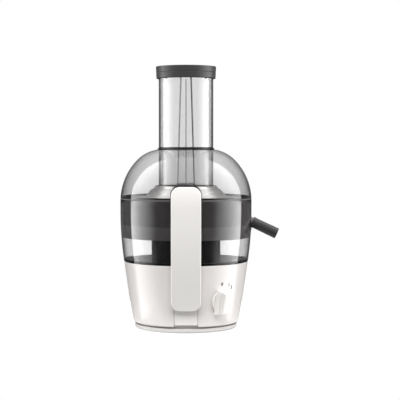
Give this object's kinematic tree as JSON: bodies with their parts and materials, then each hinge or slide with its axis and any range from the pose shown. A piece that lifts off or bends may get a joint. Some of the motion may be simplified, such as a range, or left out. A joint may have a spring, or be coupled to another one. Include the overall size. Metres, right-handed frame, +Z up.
{
  "type": "centrifugal juicer",
  "caption": "Upright juicer with a clear domed lid, tall feed tube and pusher, side spout, lid clamps, pulp container round a motor pillar, white base and speed knob.",
  "frame": {"origin": "on the table plane under the motor shaft", "axes": "+Z up along the motor shaft, +X towards the juice spout, the front clamp faces -Y"},
  "size_m": [0.2442, 0.2226, 0.4],
  "materials": {
    "white_plastic": "glossy white",
    "pale_plastic": "pale grey, satin",
    "knob_plastic": "white, glossy",
    "dark_plastic": "dark grey, glossy",
    "clear_plastic": "clear, lightly smoked",
    "polished_steel": "polished",
    "plain_steel": "plain",
    "stack_steel": "laminated",
    "copper": "varnished copper",
    "bracket_metal": "die cast",
    "black_rubber": "matt",
    "inner_plastic": "moulded",
    "carbon": "pressed carbon"
  },
  "bodies": {
    "base": {"bottom_cover": "pale_plastic", "bottom_screws": "plain_steel", "brush_holders": "inner_plastic", "carbon_brushes": "carbon", "container_floor": "clear_plastic", "container_sleeve": "dark_plastic", "cord_gland": "black_rubber", "field_coils": "copper", "front_clamp_pin": "plain_steel", "gutter_floor": "dark_plastic", "gutter_wall": "dark_plastic", "juice_collector": "dark_plastic", "lid": "clear_plastic", "lid_seal": "black_rubber", "lower_bearing": "plain_steel", "motor_bolts": "plain_steel", "motor_housing": "white_plastic", "motor_lower_bracket": "bracket_metal", "motor_mount_dampers": "black_rubber", "motor_pillar": "dark_plastic", "motor_screws": "plain_steel", "motor_stator": "stack_steel", "motor_upper_bracket": "bracket_metal", "pulp_container": "clear_plastic", "rear_clamp_pin": "plain_steel", "rotary_switch": "inner_plastic", "rubber_feet": "black_rubber", "safety_switch": "inner_plastic", "shaft_seal": "black_rubber", "terminal_block": "inner_plastic", "top_cover": "dark_plastic", "upper_bearing": "plain_steel"},
    "rotor": {"motor_shaft": "plain_steel", "armature_core": "stack_steel", "armature_windings": "copper", "commutator": "copper", "cooling_fan": "inner_plastic", "drive_coupling": "inner_plastic", "filter_shoulder": "polished_steel", "filter_mesh": "polished_steel", "filter_carrier": "dark_plastic", "grater_disc": "polished_steel", "filter_nut": "polished_steel"},
    "pusher": {"pusher_tube": "clear_plastic", "pusher_cap": "dark_plastic"},
    "front_clamp": {"front_clamp_arm": "white_plastic", "front_clamp_hook": "dark_plastic", "front_clamp_cover": "white_plastic"},
    "rear_clamp": {"rear_clamp_arm": "white_plastic", "rear_clamp_hook": "dark_plastic", "rear_clamp_cover": "white_plastic"},
    "knob": {"speed_knob": "knob_plastic", "knob_spindle": "plain_steel"},
    "spout": {"juice_spout": "dark_plastic"},
    "interlock": {"switch_plunger": "inner_plastic"}
  },
  "joints": [
    {"name": "rotor_spin", "type": "hinge", "parent": "base", "child": "rotor", "pos_m": [0, 0, 0.1], "axis": [0, 0, 1], "continuous": true},
    {"name": "pusher_lift", "type": "slide", "parent": "base", "child": "pusher", "axis": [0, 0, 1], "range_m": [0, 0.21]},
    {"name": "front_clamp_swing", "type": "hinge", "parent": "base", "child": "front_clamp", "pos_m": [0, -0.076, 0.02], "axis": [1, 0, 0], "range_deg": [0, 75]},
    {"name": "rear_clamp_swing", "type": "hinge", "parent": "base", "child": "rear_clamp", "pos_m": [0, 0.076, 0.02], "axis": [-1, 0, 0], "range_deg": [0, 75]},
    {"name": "knob_turn", "type": "hinge", "parent": "base", "child": "knob", "pos_m": [0.05378, -0.06883, 0.047], "axis": [-0.6086, 0.7789, 0.1513], "range_deg": [0, 60]},
    {"name": "spout_pull", "type": "slide", "parent": "base", "child": "spout", "axis": [0.9033, 0, -0.4289], "range_m": [0, 0.03]},
    {"name": "plunger_slide", "type": "slide", "parent": "base", "child": "interlock", "axis": [0, -1, 0], "range_m": [0, 0.002]}
  ],
  "couplings": [
    {"joint": "plunger_slide", "follows": "front_clamp_swing", "m_per_rad": 0.0015278}
  ]
}
